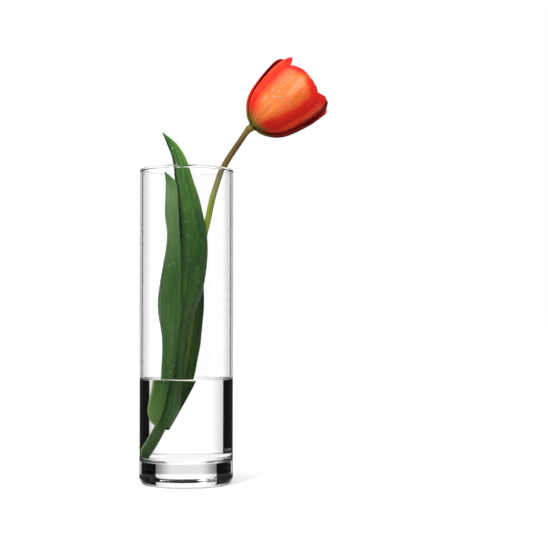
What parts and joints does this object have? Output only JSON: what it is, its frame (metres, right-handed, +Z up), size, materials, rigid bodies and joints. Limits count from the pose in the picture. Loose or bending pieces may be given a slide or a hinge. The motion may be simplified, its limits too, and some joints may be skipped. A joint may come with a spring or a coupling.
{
  "type": "glass cylinder vase",
  "caption": "Tall straight cylinder vase of clear glass with a thick solid base, one third full of water, holding a single cut tulip that leans on the rim.",
  "frame": {"origin": "middle of the vase's flat underside, on the table", "axes": "+Z up along the vase axis, +X towards the side that the flower leans to, -Y to the front"},
  "size_m": [0.182, 0.0943, 0.4151],
  "materials": {
    "clear_glass": "fire-polished, clear and colourless",
    "water": "clear still water; gloss_plastic stands in because its density is close to water",
    "stem": "smooth waxy green, browner towards the flower; leather stands in for plant tissue",
    "leaf": "satin waxy green with parallel veins; leather stands in for plant tissue",
    "petal": "satin red and orange; leather stands in for plant tissue",
    "ovary": "matt pale green; leather stands in for plant tissue",
    "stigma": "velvety pale yellow; leather stands in for plant tissue",
    "filament": "satin blackish purple; leather stands in for plant tissue",
    "anther": "powdery black; leather stands in for plant tissue"
  },
  "bodies": {
    "vase": {"vase": "clear_glass"},
    "water": {"water": "water"},
    "tulip": {"stem": "stem", "leaf_tall": "leaf", "leaf_small": "leaf", "leaf_back": "leaf", "ovary": "ovary", "stigma": "stigma", "filament_1": "filament", "anther_1": "anther", "filament_2": "filament", "anther_2": "anther", "filament_3": "filament", "anther_3": "anther", "filament_4": "filament", "anther_4": "anther", "filament_5": "filament", "anther_5": "anther", "filament_6": "filament", "anther_6": "anther"},
    "outer_petal_1": {"petal_outer_1": "petal"},
    "outer_petal_2": {"petal_outer_2": "petal"},
    "outer_petal_3": {"petal_outer_3": "petal"},
    "inner_petal_1": {"petal_inner_1": "petal"},
    "inner_petal_2": {"petal_inner_2": "petal"},
    "inner_petal_3": {"petal_inner_3": "petal"}
  },
  "joints": [
    {"name": "tulip_turn", "type": "hinge", "parent": "vase", "child": "water", "pos_m": [0, 0, 0], "axis": [0, 0, 1], "continuous": true},
    {"name": "tulip_lift", "type": "slide", "parent": "water", "child": "tulip", "axis": [0, 0, 1], "range_m": [0, 0.3], "deforming": ["water"]},
    {"name": "outer_petal_1_open", "type": "hinge", "parent": "tulip", "child": "outer_petal_1", "pos_m": [0.0649, 0.0102, 0.34837], "axis": [0.6293, 0, -0.7771], "range_deg": [0, 25], "stiffness_Nm_per_rad": 0.05},
    {"name": "outer_petal_2_open", "type": "hinge", "parent": "tulip", "child": "outer_petal_2", "pos_m": [0.06806, 0.0189, 0.34446], "axis": [-0.3147, 0.866, 0.3886], "range_deg": [0, 25], "stiffness_Nm_per_rad": 0.05},
    {"name": "outer_petal_3_open", "type": "hinge", "parent": "tulip", "child": "outer_petal_3", "pos_m": [0.06174, 0.0189, 0.35227], "axis": [-0.3147, -0.866, 0.3886], "range_deg": [0, 25], "stiffness_Nm_per_rad": 0.05},
    {"name": "inner_petal_1_open", "type": "hinge", "parent": "tulip", "child": "inner_petal_1", "pos_m": [0.06935, 0.01337, 0.3461], "axis": [0.3147, 0.866, -0.3886], "range_deg": [0, 12.5], "stiffness_Nm_per_rad": 0.05},
    {"name": "inner_petal_2_open", "type": "hinge", "parent": "tulip", "child": "inner_petal_2", "pos_m": [0.06648, 0.02127, 0.34964], "axis": [-0.6293, 0, 0.7771], "range_deg": [0, 12.5], "stiffness_Nm_per_rad": 0.05},
    {"name": "inner_petal_3_open", "type": "hinge", "parent": "tulip", "child": "inner_petal_3", "pos_m": [0.0636, 0.01337, 0.35319], "axis": [0.3147, -0.866, -0.3886], "range_deg": [0, 12.5], "stiffness_Nm_per_rad": 0.05}
  ],
  "couplings": [
    {"joint": "outer_petal_2_open", "follows": "outer_petal_1_open", "ratio": 1},
    {"joint": "outer_petal_3_open", "follows": "outer_petal_1_open", "ratio": 1},
    {"joint": "inner_petal_1_open", "follows": "outer_petal_1_open", "ratio": 0.5},
    {"joint": "inner_petal_2_open", "follows": "outer_petal_1_open", "ratio": 0.5},
    {"joint": "inner_petal_3_open", "follows": "outer_petal_1_open", "ratio": 0.5}
  ]
}
